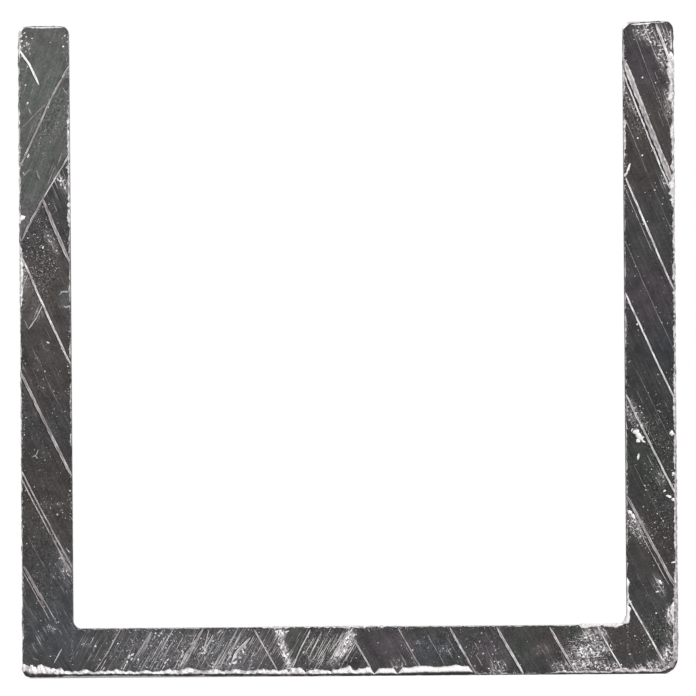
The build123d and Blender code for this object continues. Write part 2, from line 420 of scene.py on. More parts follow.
FRONT_CHIPS = (
    Chip(17.55, 14.80, 0.56, 0.42, 20, 1.0),
    Chip(17.72, 14.50, 0.62, 0.40, -70, 1.0),
    Chip(17.66, 14.22, 0.34, 0.24, -30, 1.0),
    Chip(17.98, 14.18, 0.34, 0.16, -15, 1.0),
    Chip(17.98, 14.45, 0.14, 0.10, 40, 0.95),
    Chip(17.30, 14.90, 0.20, 0.12, 60, 0.95),
    Chip(17.68, 13.30, 0.42, 0.16, 80, 1.0),
    Chip(19.52, 10.82, 0.40, 0.20, -10, 1.0),
    Chip(19.80, 10.62, 0.34, 0.18, -45, 1.0),
    Chip(19.25, 11.15, 0.24, 0.16, 30, 0.95),
    Chip(17.15, 9.88, 0.34, 0.28, -20, 1.0),
    Chip(17.32, 9.62, 0.40, 0.20, -60, 1.0),
    Chip(17.45, 9.30, 0.22, 0.14, -30, 0.95),
    Chip(17.22, 30.93, 0.80, 0.17, 68, 1.0),
    Chip(17.05, 30.50, 0.40, 0.16, 60, 0.95),
    Chip(19.72, 14.70, 0.36, 0.30, 90, 0.95),
    Chip(19.80, 12.20, 0.25, 0.22, 60, 0.85),
    Chip(19.78, 6.80, 0.28, 0.12, 10, 1.0),
    Chip(18.95, 5.60, 0.34, 0.18, -30, 1.0),
    Chip(18.75, 5.00, 0.22, 0.12, 20, 0.95),
    Chip(18.10, 36.40, 0.12, 0.11, 0, 1.0),
    Chip(17.95, 35.20, 0.12, 0.10, 0, 0.95),
    Chip(17.77, 32.70, 0.13, 0.10, 0, 1.0),
    Chip(18.70, 3.70, 0.16, 0.13, 0, 1.0),
    Chip(-19.80, 28.10, 0.32, 0.26, 0, 1.0),
    Chip(-18.57, 26.30, 0.24, 0.11, 55, 0.95),
    Chip(-18.30, 20.50, 0.20, 0.12, -20, 0.95),
    Chip(-18.20, 34.85, 0.14, 0.08, 40, 0.95),
    Chip(-19.45, 35.10, 0.16, 0.10, 60, 0.90),
    Chip(-19.42, 31.90, 0.28, 0.12, 65, 0.86),
    Chip(-19.35, 38.70, 0.14, 0.08, 50, 0.90),
    Chip(-19.62, 38.60, 0.12, 0.07, 20, 0.90),
    Chip(-19.78, 38.90, 0.17, 0.10, 30, 1.0),
    Chip(-19.80, 39.20, 0.20, 0.09, 60, 0.95),
    Chip(-19.62, 39.38, 0.18, 0.08, 20, 1.0),
    Chip(-19.50, 39.16, 0.12, 0.07, 70, 0.90),
    Chip(-19.15, 39.05, 0.12, 0.08, 0, 0.95),
    Chip(-17.25, 38.55, 0.14, 0.10, 30, 0.95),
    Chip(-17.15, 39.20, 0.14, 0.08, 50, 0.95),
    Chip(-18.05, 38.80, 0.08, 0.07, 0, 0.9),
    Chip(-17.50, 10.10, 0.09, 0.08, 0, 0.90),
    Chip(-15.55, 1.95, 0.20, 0.13, -30, 0.95),
    Chip(-13.30, 1.42, 0.28, 0.15, 30, 0.93),
    Chip(-13.52, 1.26, 0.26, 0.12, 75, 0.86),
    Chip(-13.36, 1.12, 0.24, 0.11, 60, 0.90),
    Chip(-13.62, 0.94, 0.28, 0.13, 60, 0.92),
    Chip(-12.95, 1.10, 0.14, 0.10, 55, 0.86),
    Chip(-11.14, 1.08, 0.22, 0.12, 40, 0.95),
    Chip(-11.30, 0.90, 0.22, 0.11, 60, 0.95),
    Chip(-11.52, 1.10, 0.18, 0.08, 10, 0.80),
    Chip(-15.05, 0.55, 0.22, 0.10, 50, 0.85),
    Chip(-4.48, 2.75, 0.22, 0.13, 20, 0.95),
    Chip(-4.14, 2.62, 0.28, 0.15, -40, 1.0),
    Chip(-4.36, 2.30, 0.22, 0.12, 80, 0.92),
    Chip(-4.05, 1.95, 0.18, 0.11, 60, 0.92),
    Chip(-0.70, 1.30, 0.20, 0.12, 50, 0.92),
    Chip(-0.25, 2.25, 0.24, 0.12, 60, 0.95),
    Chip(-3.85, 2.75, 0.34, 0.12, 10, 0.95),
    Chip(-2.85, 1.45, 0.20, 0.12, 60, 0.80),
)

FRONT = SawnEnd(
    name="front",
    side=-1,
    seed=11,
    marks=FRONT_MARKS,
    scratches=FRONT_SCRATCHES,
    hatches=FRONT_HATCHES,
    rising=FRONT_RISING,
    torn=FRONT_TORN,
    specks=FRONT_SPECKS,
    tints=FRONT_TINTS,
    burrs=FRONT_BURRS,
    chips=FRONT_CHIPS,
    dents=FRONT_DENTS,
    crumbs=1300,
)

# The back end was cut by the same saw, with one mark for each step of the feed
FEED = 2.97
FIRST_FOOT = -18.2
BACK_MARKS = tuple(
    SawMark(FIRST_FOOT + FEED * step + 0.12 * math.sin(5 * step), 0, 40, 0.12 + 0.05 * (step % 3), 0.66)
    for step in range(19)
)
BACK_BURRS = (
    Burr(((-19.3, 0.10), (-3.0, 0.10)), 0.30, 0.16, 0.90),
    Burr(((-3.6, 0.10), (9.0, 0.10)), 0.40, 0.18, 0.94),
    Burr(((8.4, 0.10), (19.2, 0.10)), 0.22, 0.12, 0.86),
    Burr(((19.97, 24.0), (19.97, 38.0)), 0.18, 0.09, 0.88),
    Burr(((16.93, 36.0), (16.93, 8.0)), 0.08, 0.06, 0.80),
    Burr(((-16.93, 12.0), (-16.93, 30.0)), 0.12, 0.08, 0.84),
    Burr(((-17.3, 39.78), (-19.5, 39.78)), 0.10, 0.07, 0.92),
)
BACK_TORN = (
    Patch(-9.0, 1.5, 6.0, 2.0, 0, 0.40),
    Patch(-4.0, 1.5, 1.6, 0.5, -65, 0.80),
    Patch(8.0, 1.2, 4.0, 1.6, 0, 0.40),
    Patch(10.4, 1.4, 1.6, 0.6, -65, 0.70),
    Patch(18.5, 22.0, 4.0, 1.4, 90, 0.45),
    Patch(17.6, 30.0, 1.4, 0.5, -65, 0.75),
    Patch(-18.5, 12.0, 5.0, 1.4, 90, 0.40),
)
BACK_SPECKS = (
    Patch(-18.5, 20.0, 18.0, 2.5, 90, 0.50),
    Patch(18.5, 20.0, 18.0, 2.5, 90, 0.50),
    Patch(0.0, 1.5, 20.0, 2.5, 0, 0.50),
)
BACK_TINTS = (
    Tint(-18, 30, 9, BROWNISH, 1.25),
    Tint(-12, 2, 8, BLUISH, 1.15),
    Tint(8, 2, 7, GREENISH, 1.15),
    Tint(18, 20, 9, VIOLET, 1.15),
)
BACK_HATCHES = (
    Hatch(-8.0, 1.5, 9.0, 1.2, 30, 1.4, 0, 0.75),
    Hatch(-18.4, 20.0, 1.2, 16.0, 20, 1.4, 0, 0.65),
    Hatch(18.4, 20.0, 1.2, 16.0, 20, 1.4, 0, 0.65),
)
BACK = SawnEnd(
    name="back",
    side=1,
    seed=47,
    marks=BACK_MARKS,
    scratches=(),
    hatches=BACK_HATCHES,
    rising=(),
    torn=BACK_TORN,
    specks=BACK_SPECKS,
    tints=BACK_TINTS,
    burrs=BACK_BURRS,
    chips=(),
    dents=(),
    crumbs=700,
)
ENDS = (FRONT, BACK)

# Across a saw mark, as shares of its width and height, from its side with a painted shade strip to its bright
# side
RIDGE_ACROSS = np.array((0.80, 0.76, 0.50, 0.42, 0.26, 0.0, -0.26, -0.40, -0.48))
RIDGE_LIFT = np.array((0.0, 0.25, 0.25, 0.75, 1.0, 0.9, 0.95, 0.7, 0.0))
RIDGE_TONE_WITH_PAINTED_SHADE = np.array((0.0, 0.0, 0.0, 1.30, 1.00, 0.84, 1.00, 1.28, 0.90))
# Across a burr, as shares of its width and lift, from outside the edge inward. Under the web, its
# outer side is painted dark as shade.
BURR_ACROSS = np.array((-0.20, -0.05, 0.10, 0.24, 0.5, 0.78, 1.0))
BURR_LIFT = np.array((0.5, 0.85, 0.9, 1.0, 0.85, 0.5, 0.0))
BURR_TONE = np.array((0.86, 0.90, 0.92, 0.97, 1.03, 1.03, 0.96))
BURR_TONE_WITH_PAINTED_SHADE = np.array((0.0, 0.0, 0.35, 0.97, 1.03, 1.03, 0.96))
# Distance from one ring of points to the next along a ridge and along a burr
RIDGE_STEP = 0.11
BURR_STEP = 0.07
# How far ridges and chips reach down into the metal, and how far burrs do
SUNK = 0.04
BURR_SUNK = 0.06
# A burr thins out over this length at its ends, and is broken where it is narrower than this width
BURR_TAPER = 0.3
WHOLE_BURR = 0.4
# Size of the grains of torn metal: across a ridge, along it, and in burrs and chips
GRAIN_ACROSS = 0.06
GRAIN_ALONG = 0.30
GRAIN = 0.10
# How far on in the grain each next ridge or burr starts
GRAIN_SHIFT = 0.37
# Tones are written as they look on a screen, and this power turns them into light
SCREEN_POWER = 2.2
# Widths of the scratches in a hatch, from the finest to the coarsest
FINE_WIDTHS = (0.035, 0.065)
# Places drawn at random for each crumb that is picked from them
PLACES_PER_CRUMB = 60
# Faces that meet at a sharper turn than this show an edge
SHARP_TURN = math.radians(50)

# The floor lies just below the bar and reaches far past what any view takes in, in metres
FLOOR_REACH = 20.0
FLOOR_DROP = 0.02 * MM
# Where the lamps shine from, and how large their discs look, in degrees
KEY_FROM = (0.55, -0.75, 0.80)
KEY_DISC = 12.0
FILL_FROM = (-0.6, 0.8, 0.5)
FILL_DISC = 25.0


class ChannelLooks(bpy.types.PropertyGroup):
    """Sizes and colours of the bar's finish."""

    face_spacing: FloatProperty(
        name="Face spacing",
        description="Distance between mesh points on a sawn end",
        default=0.13 * MM,
        unit="LENGTH",
    )
    relief: FloatProperty(
        name="Relief",
        description="Depth of the waves that the saw leaves between its marks",
        default=0.03 * MM,
        unit="LENGTH",
    )
    raggedness: FloatProperty(
        name="Raggedness",
        description="How far the edge of a sawn end wanders",
        default=0.028 * MM,
        unit="LENGTH",
    )
    ridge_height: FloatProperty(
        name="Ridge height",
        description="How far a saw mark stands out, as a share of its width",
        default=0.3,
    )
    charcoal: FloatVectorProperty(
        name="Charcoal",
        description="Colour of the sawn metal between the marks",
        default=(0.062, 0.0605, 0.061),
        subtype="COLOR",
        size=3,
    )
    # Also the colour of the painted shade beside saw marks and under burrs
    torn_dark_and_painted_shade: FloatVectorProperty(
        name="Torn dark",
        description="Colour of the gaps in freshly torn metal",
        default=(0.020, 0.017, 0.018),
        subtype="COLOR",
        size=3,
    )
    torn_grey: FloatVectorProperty(
        name="Torn grey",
        description="Middle colour of freshly torn metal",
        default=(0.37, 0.33, 0.34),
        subtype="COLOR",
        size=3,
    )
    torn_white: FloatVectorProperty(
        name="Torn white",
        description="Brightest colour of freshly torn metal",
        default=(0.96, 0.935, 0.94),
        subtype="COLOR",
        size=3,
    )
    mill_silver: FloatVectorProperty(
        name="Mill silver",
        description="Colour of the long faces as they left the die",
        default=(0.50, 0.51, 0.51),
        subtype="COLOR",
        size=3,
    )


class StageLooks(bpy.types.PropertyGroup):
    """The camera, the light and the floor."""

    lens: FloatProperty(
        name="Lens",
        description="Focal length of the camera, in millimetres",
        default=1700.0,
    )
    view_width: FloatProperty(
        name="View width",
        description="Width of the picture at the front end of the bar",
        default=42.48 * MM,
        unit="LENGTH",
    )
    view_height: FloatProperty(
        name="View height",
        description="Height of the picture's middle above the floor",
        default=20.02 * MM,
        unit="LENGTH",
    )
    roll: FloatProperty(
        name="Roll",
        description="How far the camera leans over",
        default=math.radians(0.42),
        subtype="ANGLE",
    )
    view_depth: FloatProperty(
        name="View depth",
        description="How much of the bar behind its front end the picture takes in",
        default=4.0 * MM,
        unit="LENGTH",
    )
    daylight: FloatProperty(
        name="Daylight",
        description="Level of the soft light from all round",
        default=0.6,
    )
    key_light: FloatProperty(
        name="Key light",
        description="Strength of the main lamp",
        default=1.2,
    )
    fill_light: FloatProperty(
        name="Fill light",
        description="Strength of the lamp behind the bar",
        default=0.5,
    )
    floor_colour: FloatVectorProperty(
        name="Floor colour",
        description="Colour of the pale floor",
        default=(0.82, 0.82, 0.82),
        subtype="COLOR",
        size=3,
    )
    floor_glow: FloatProperty(
        name="Floor glow",
        description="Light that the floor adds to itself where it is seen",
        default=0.45,
    )


def smooth_noise(places, cell, seed):
    """Smooth noise from -1 to 1 at places in a plane, with features about one cell across."""
    lattice = np.random.default_rng(seed).uniform(-1, 1, (NOISE_GRID, NOISE_GRID))
    at = np.asarray(places, float) / cell
    corner = np.floor(at).astype(int)
    part = at - corner
    part = part * part * (3 - 2 * part)
    i, j = corner[..., 0] % NOISE_GRID, corner[..., 1] % NOISE_GRID
    next_i, next_j = (i + 1) % NOISE_GRID, (j + 1) % NOISE_GRID
    low = lattice[i, j] * (1 - part[..., 0]) + lattice[next_i, j] * part[..., 0]
    high = lattice[i, next_j] * (1 - part[..., 0]) + lattice[next_i, next_j] * part[..., 0]
    return low * (1 - part[..., 1]) + high * part[..., 1]


def fade(distance, reach):
    """1 at no distance, falling smoothly to 0 at reach."""
    left = np.clip(1 - np.asarray(distance, float) / reach, 0, 1)
    return left * left * (3 - 2 * left)


def arc_shift(z):
    """How far to the left of its foot the blade's arc has moved at height z."""
    level = np.sqrt(BLADE_RADIUS**2 - (BLADE_HEIGHT - np.asarray(z, float)) ** 2)
    return level - math.sqrt(BLADE_RADIUS**2 - BLADE_HEIGHT**2)


def distances(points):
    """How far along a line each of its points lies."""
    steps = np.linalg.norm(np.diff(points, axis=0), axis=1)
    return np.concatenate(([0], np.cumsum(steps)))


def evenly(points, count):
    """count points spaced evenly along a line through points."""
    points = np.asarray(points, float)
    along = distances(points)
    wanted = np.linspace(0, along[-1], count)
    return np.stack([np.interp(wanted, along, points[:, k]) for k in (0, 1)], axis=1)


def corner_arc(centre, radius):
    """Points on a quarter circle, from the right of its centre down to below it."""
    angles = np.radians(np.linspace(0, -90, CORNER_POINTS))
    return np.array(centre) + radius * np.stack((np.cos(angles), np.sin(angles)), axis=1)


def half_outline(heel_radius, tip, spacing):
    """Matching points on the outer and inner outlines of the right half, from tip to mid-web."""
    turn = np.radians(np.linspace(0, 90, TIP_POINTS))
    tip_z = tip - TIP_RADIUS * (1 - np.cos(turn))
    narrowing = TIP_RADIUS * (1 - np.sin(turn))
    outer_tip = np.stack((HALF_WIDTH - narrowing, tip_z), axis=1)
    inner_tip = np.stack((INNER_HALF + narrowing, tip_z), axis=1)

    root = (INNER_HALF - ROOT_RADIUS, WEB + ROOT_RADIUS)
    leg_z = np.linspace(tip - TIP_RADIUS, root[1], int((tip - root[1]) / spacing))[1:-1]
    outer_leg = np.stack((np.full_like(leg_z, HALF_WIDTH), leg_z), axis=1)
    inner_leg = np.stack((np.full_like(leg_z, INNER_HALF), leg_z), axis=1)

    heel_arc = corner_arc((HALF_WIDTH - heel_radius, heel_radius), heel_radius)
    heel = np.concatenate(([(HALF_WIDTH, root[1])], heel_arc, [(root[0], 0)]))
    corner_count = int((root[1] + LEG + ROOT_RADIUS) / spacing)
    outer_corner = evenly(heel, corner_count)
    inner_corner = evenly(corner_arc(root, ROOT_RADIUS), corner_count)

    web_x = np.linspace(root[0], 0, int(root[0] / spacing))[1:]
    outer_web = np.stack((web_x, np.zeros_like(web_x)), axis=1)
    inner_web = np.stack((web_x, np.full_like(web_x, WEB)), axis=1)
    outer = np.concatenate((outer_tip, outer_leg, outer_corner, outer_web))
    inner = np.concatenate((inner_tip, inner_leg, inner_corner, inner_web))
    return outer, inner


def outlines(spacing):
    """Matching points on the outer and inner outlines, from the left tip to the right tip."""
    left = half_outline(LEFT_HEEL_RADIUS, HEIGHT - LEFT_TIP_DROP, spacing)
    right = half_outline(RIGHT_HEEL_RADIUS, HEIGHT - RIGHT_TIP_DROP, spacing)
    return [np.concatenate((a * (-1, 1), b[-2::-1])) for a, b in zip(left, right, strict=True)]


def on_end(end, places, lift):
    """Places on a sawn end as points of the bar, in metres."""
    places = np.asarray(places, float)
    out = HALF_LENGTH + np.broadcast_to(lift, places.shape[:-1])
    return np.stack((-end.side * places[..., 0], end.side * out, places[..., 1]), axis=-1) * MM


def on_metal(places):
    """Which places lie on the metal of the section."""
    x, z = np.abs(places[..., 0]), places[..., 1]
    in_box = (x <= HALF_WIDTH) & (z >= 0) & (z <= HEIGHT - LEFT_TIP_DROP)
    return in_box & ((x >= INNER_HALF) | (z <= WEB))


def in_outline(places, outline):
    """Which places lie inside a closed outline."""
    x, z = places[..., 0], places[..., 1]
    inside = np.zeros(x.shape, bool)
    for (x1, z1), (x2, z2) in zip(outline, outline[1:] + outline[:1], strict=True):
        if z1 != z2:
            crosses = (z1 > z) != (z2 > z)
            inside ^= crosses & (x < x1 + (z - z1) * (x2 - x1) / (z2 - z1))
    return inside


def in_patches(places, patches):
    """How strongly each place lies in any of these patches, from 0 to 1."""
    total = np.zeros(places.shape[:-1])
    for patch in patches:
        angle = math.radians(patch.angle)
        x, z = places[..., 0] - patch.x, places[..., 1] - patch.z
        along = x * math.cos(angle) + z * math.sin(angle)
        across = z * math.cos(angle) - x * math.sin(angle)
        reach = np.hypot(along / patch.long, across / patch.short)
        total = np.maximum(total, patch.strength * np.minimum(1.7 * fade(reach, 1.0), 1))
    return total


def tint_at(end, places):
    """How each place's colour differs from charcoal, where 1, 1, 1 is no difference."""
    colour = np.ones(places.shape[:-1] + (3,))
    for tint in end.tints:
        weight = fade(np.hypot(places[..., 0] - tint.x, places[..., 1] - tint.z), tint.reach)
        colour *= 1 + weight[..., None] * (np.array(tint.colour) * tint.level - 1)
    for area in end.rising:
        colour[in_outline(places, area.outline)] *= area.level
    return colour


def edge_distance(places):
    """How far each place on the metal lies from the nearest edge of the section."""
    x, z = np.abs(places[..., 0]), places[..., 1]
    leg = np.minimum(HALF_WIDTH - x, x - INNER_HALF)
    web = np.minimum(z, WEB - z)
    return np.where(x > INNER_HALF, np.minimum(leg, HEIGHT - z), web)


def specks_at(end, places):
    """How thickly bright specks lie at each place, from 0 to 1: they gather along the edges."""
    fringe = fade(edge_distance(places), FRINGE) * (0.6 + 0.4 * smooth_noise(places, 0.9, end.seed + 9))
    return np.maximum(in_patches(places, end.specks), fringe)


def saw_lines(end, places):
    """Each place's distance across the falling arcs and the rising arcs, and 1 where they rise."""
    rising = np.zeros(places.shape[:-1], bool)
    for area in end.rising:
        rising |= in_outline(places, area.outline)
    shift = arc_shift(places[..., 1])
    return np.stack((places[..., 0] + shift, places[..., 0] - shift, rising), axis=-1)


def face_relief(end, places, looks):
    """How far each place of a sawn end stands out from the flat, in millimetres."""
    lines = saw_lines(end, places)
    across = np.where(lines[..., 2] > 0.5, lines[..., 1], lines[..., 0])
    arcs = np.stack((across, places[..., 1] / 12), axis=-1)
    wave = 0.6 * smooth_noise(arcs, 0.35, end.seed) + 0.4 * smooth_noise(arcs, 0.16, end.seed + 1)
    rough = smooth_noise(places, 0.3, end.seed + 2) * in_patches(places, end.torn + end.specks)
    return looks.relief / MM * (wave + 1.5 * rough)


def ragged_edges(end, clean, looks):
    """The places of a sawn end with ragged edges, in rows from its outer to its inner outline."""
    def wander(places, seed):
        return smooth_noise(places, 0.35, seed) + 0.6 * smooth_noise(places, 0.14, seed + 1)

    size = looks.raggedness / MM
    outer, inner = clean[:, :1], clean[:, -1:]
    outward = (outer - inner) / np.linalg.norm(outer - inner, axis=-1, keepdims=True)
    near_outer = fade(np.linalg.norm(clean - outer, axis=-1), RAGGED_REACH)
    near_inner = fade(np.linalg.norm(clean - inner, axis=-1), RAGGED_REACH)
    push = near_outer * wander(outer, end.seed + 3) - near_inner * wander(inner, end.seed + 5)
    ragged = clean + size * push[..., None] * outward
    rows = np.arange(len(clean))
    near_tip = fade(np.minimum(rows, rows[::-1]), TIP_REACH)[:, None]
    ragged[..., 1] += size * near_tip * wander(clean * (1, 0), end.seed + 7)
    for dent in end.dents:
        x, z = (clean[..., 0] - dent.x) / dent.wide, (clean[..., 1] - dent.z) / dent.high
        near = fade(np.hypot(x, z), 1.0)
        ragged += near[..., None] * dent.push
    ragged[..., 1] = np.maximum(ragged[..., 1], 0)
    return ragged


class Shape:
    """Points and faces of one piece, as its lumps are added one by one."""

    def __init__(self):
        self.points = []
        self.faces = []
        self.tones = []
        self.flows = []
        self.count = 0

    def add(self, points, faces, tones, flow):
        """Adds one closed lump, with its faces turned outward.

        tones are the brightness of each point, and flow is each point's place in the metal's grain.
        """
        points = np.asarray(points)
        centred = points - points.mean(axis=0)
        volume = 0.0
        for face in faces:
            for k in range(1, len(face) - 1):
                a, b, c = centred[face[0]], centred[face[k]], centred[face[k + 1]]
                volume += a @ np.cross(b, c)
        turn = 1 if volume > 0 else -1
        self.faces += [[self.count + k for k in face[::turn]] for face in faces]
        self.points.append(points)
        self.tones.append(np.clip(tones, 0, 1))
        self.flows.append(flow)
        self.count += len(points)


def loft_faces(rings, around):
    """Faces of a closed lump made of this many rings of this many points."""
    faces = [list(range(around))[::-1], list(range((rings - 1) * around, rings * around))]
    for i in range(rings - 1):
        for j in range(around):
            a, b = i * around + j, i * around + (j + 1) % around
            faces.append([a, b, b + around, a + around])
    return faces


def volume_sign(points, faces):
    """Positive where a closed piece's faces are turned outward."""
    a, b, c, d = (points[faces[:, k]] for k in range(4))
    return np.sum(a * np.cross(b, c)) + np.sum(a * np.cross(c, d))


def make_object(name, points, faces, materials):
    """A mesh object that rides on the bar and takes its finish from the materials given."""
    mesh = bpy.data.meshes.new(name)
    mesh.from_pydata(points, [], faces)
    for material in materials:
        mesh.materials.append(material)
    mesh.shade_smooth()
    mesh.set_sharp_from_angle(angle=SHARP_TURN)
    piece = bpy.data.objects.new(name, mesh)
    bpy.context.scene.collection.objects.link(piece)
    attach(piece, BODY)
    return piece


def set_attribute(piece, name, values):
    """Stores one number or one vector for each point of a piece."""
    kind, key = ("FLOAT", "value") if values.ndim == 1 else ("FLOAT_VECTOR", "vector")
    attribute = piece.data.attributes.new(name, kind, "POINT")
    attribute.data.foreach_set(key, values.astype(np.float32).ravel())


def section_grid(spacing):
    """Places all over the section in rows from its outer to its inner outline, its cells and its rim."""
    outer, inner = outlines(spacing)
    across = int(LEG / spacing) + 1
    share = np.linspace(0, 1, across)[None, :, None]
    clean = outer[:, None] * (1 - share) + inner[:, None] * share
    grid = np.arange(len(clean) * across).reshape(-1, across)
    cells = np.stack((grid[:-1, :-1], grid[1:, :-1], grid[1:, 1:], grid[:-1, 1:]), axis=-1)
    rim = np.concatenate((grid[:, 0], grid[-1, 1:-1], grid[::-1, -1], grid[0, -2:0:-1]))
    return clean, cells.reshape(-1, 4), rim


def face_values(end, places):
    """What the sawn metal reads at each place of a sawn end."""
    return {
        "saw_lines": saw_lines(end, places),
        "torn": in_patches(places, end.torn),
        "specks": specks_at(end, places),
        "tint": tint_at(end, places),
    }


def make_bar(looks):
    """The bar with its two sawn ends in relief, as one closed mesh."""
    clean, cells, rim = section_grid(looks.face_spacing / MM)
    points, values, rings = [], [], []
    for end in ENDS:
        seen = clean * (-end.side, 1)
        ragged = ragged_edges(end, seen, looks).reshape(-1, 2)
        seen = seen.reshape(-1, 2)
        points.append(on_end(end, ragged, face_relief(end, seen, looks)))
        values.append(face_values(end, ragged))
        rings.append([
            on_end(end, seen[rim] + left * (ragged - seen)[rim], -depth)
            for depth, left in RAGGED_RINGS
        ])

    near, far = rings[0][-1], rings[1][-1]
    between = [near + (far - near) * k / LONG_SPANS for k in range(1, LONG_SPANS)]
    middle = rings[0] + between + rings[1][::-1]
    face_size = len(points[0])
    first = 2 * face_size
    loops = [rim]
    loops += [first + k * len(rim) + np.arange(len(rim)) for k in range(len(middle))]
    loops += [rim + face_size]
    walls = [
        np.stack((a, b, np.roll(b, -1), np.roll(a, -1)), axis=-1)
        for a, b in zip(loops, loops[1:])
    ]
    ends = np.concatenate((cells, cells[:, ::-1] + face_size))
    faces = np.concatenate([ends] + walls)
    points = np.concatenate(points + middle)
    if volume_sign(points, faces) < 0:
        raise ValueError("the bar's faces are turned inward")

    bar = make_object("u_channel_bar", points, faces, (sawn_metal(looks), mill_finish(looks)))
    kinds = np.ones(len(faces), np.int32)
    kinds[:len(ends)] = 0
    bar.data.polygons.foreach_set("material_index", kinds)
    for name, plain in (("saw_lines", 0.0), ("torn", 0.0), ("specks", 0.0), ("tint", 1.0)):
        on_faces = np.concatenate([found[name] for found in values])
        on_walls = np.full((len(points) - first,) + on_faces.shape[1:], plain)
        set_attribute(bar, name, np.concatenate((on_faces, on_walls)))
    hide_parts(NODE)


def runs_on_metal(path):
    """The stretches of a line that lie on the metal."""
    kept = on_metal(path)
    starts = [k for k in range(len(path)) if kept[k] and (k == 0 or not kept[k - 1])]
    for start in starts:
        stop = start
        while stop < len(path) and kept[stop]:
            stop += 1
        if stop - start > 3:
            yield path[start:stop]


def hatch_lines(end, hatch, random):
    """The straight lines of a hatch, as pairs of points on the metal."""
    for _ in range(hatch.count):
        turn, reach = random.uniform(0, math.tau), math.sqrt(random.uniform())
        x = hatch.x + reach * hatch.wide * math.cos(turn)
        z = hatch.z + reach * hatch.high * math.sin(turn)
        half = hatch.length * random.uniform(0.15, 0.5)
        rises = saw_lines(end, np.array((x, z)))[2] > 0.5
        shift = arc_shift(z + half) - arc_shift(z - half)
        slope = math.atan2(2 * half, shift if rises else -shift) + math.radians(hatch.turn)
        step = half * np.array((math.cos(slope), math.sin(slope)))
        line = np.array(((x, z) - step, (x, z) + step))
        if on_metal(line).all():
            yield line


def left_of(path):
    """The direction to the left of a line, at each of its points."""
    way = np.gradient(path, axis=0)
    way /= np.linalg.norm(way, axis=1, keepdims=True)
    return np.stack((-way[:, 1], way[:, 0]), axis=1)


def noise_row(along, row):
    """Where to read the noise along a line, so that each line has a row of its own."""
    return np.stack((along, np.full_like(along, row)), axis=1)


def fine_noise(at, shift, count, seed):
    """Fine noise along a line for each of count points across it."""
    return np.stack([smooth_noise(at + shift * k, 0.15, seed) for k in range(count)], axis=1)


def add_ridge(shape, end, path, width, tone, looks, seed):
    """Adds one saw mark or scratch: a low ridge along a line, with shade painted along its left side."""
    if path[0][1] > path[-1][1]:
        path = path[::-1]
    length = distances(np.asarray(path, float))[-1]
    path = evenly(path, max(5, int(length / RIDGE_STEP)))
    along = distances(path)

    at = noise_row(along, 3.7 * seed)
    taper = np.sqrt(np.clip(np.minimum(along, length - along) / (2 * width) + 0.02, 0, 1))
    size = width * taper * (1 + 0.09 * smooth_noise(at, 1.2, seed) + 0.07 * smooth_noise(at, 0.25, seed + 1))
    sway = 0.015 * smooth_noise(at, 0.8, seed + 2)
    edge = fine_noise(at, 1, len(RIDGE_ACROSS), seed + 3)
    across = sway[:, None] + 0.74 * size[:, None] * (RIDGE_ACROSS + 0.08 * edge)
    places = path[:, None] + across[..., None] * left_of(path)[:, None]
    base = face_relief(end, path, looks)[:, None]
    rise = looks.ridge_height * size[:, None] * (RIDGE_LIFT + 0.25 * edge)
    lift = base - SUNK + (RIDGE_LIFT > 0) * (SUNK + rise)
    light = 1.06 + 0.16 * smooth_noise(at, 0.6, seed + 4)[:, None] + 0.16 * edge
    # The first columns of tone paint a dark strip of shade along the ridge's left side
    tones = (tone * RIDGE_TONE_WITH_PAINTED_SHADE * light).ravel()
    onward = np.broadcast_to(along[:, None] / GRAIN_ALONG, across.shape)
    apart = np.full(across.shape, GRAIN_SHIFT * seed)
    flow = np.stack((across / GRAIN_ACROSS, onward, apart), axis=-1)
    faces = loft_faces(len(path), len(RIDGE_ACROSS))
    shape.add(on_end(end, places, lift).reshape(-1, 3), faces, tones, flow.reshape(-1, 3))


def ridges_on(end):
    """The path, width and tone of each saw mark, scratch and hatch line on a sawn end."""
    for mark in end.marks:
        z = np.linspace(mark.low, mark.high, int((mark.high - mark.low) / 0.1) + 2)
        arc = np.stack((mark.foot - arc_shift(z), z), axis=1)
        for path in runs_on_metal(arc):
            yield path, mark.width, mark.tone
    for scratch in end.scratches:
        yield scratch.points, scratch.width, scratch.tone
    random = np.random.default_rng(end.seed + 700)
    for hatch in end.hatches:
        for path in hatch_lines(end, hatch, random):
            yield path, random.uniform(*FINE_WIDTHS), hatch.tone * random.uniform(0.6, 1.1)


def make_saw_marks(end, looks):
    """The saw marks and scratches of one sawn end, as low ridges."""
    shape = Shape()
    for number, (path, width, tone) in enumerate(ridges_on(end), 1):
        add_ridge(shape, end, path, width, tone, looks, end.seed * 100 + 7 * number)
    finish_shape(shape, f"saw_marks_{end.name}", looks)


def grain_flow(points, seed):
    """The places of torn metal in its own even grain, for points in metres."""
    return points / (GRAIN * MM) + GRAIN_SHIFT * seed


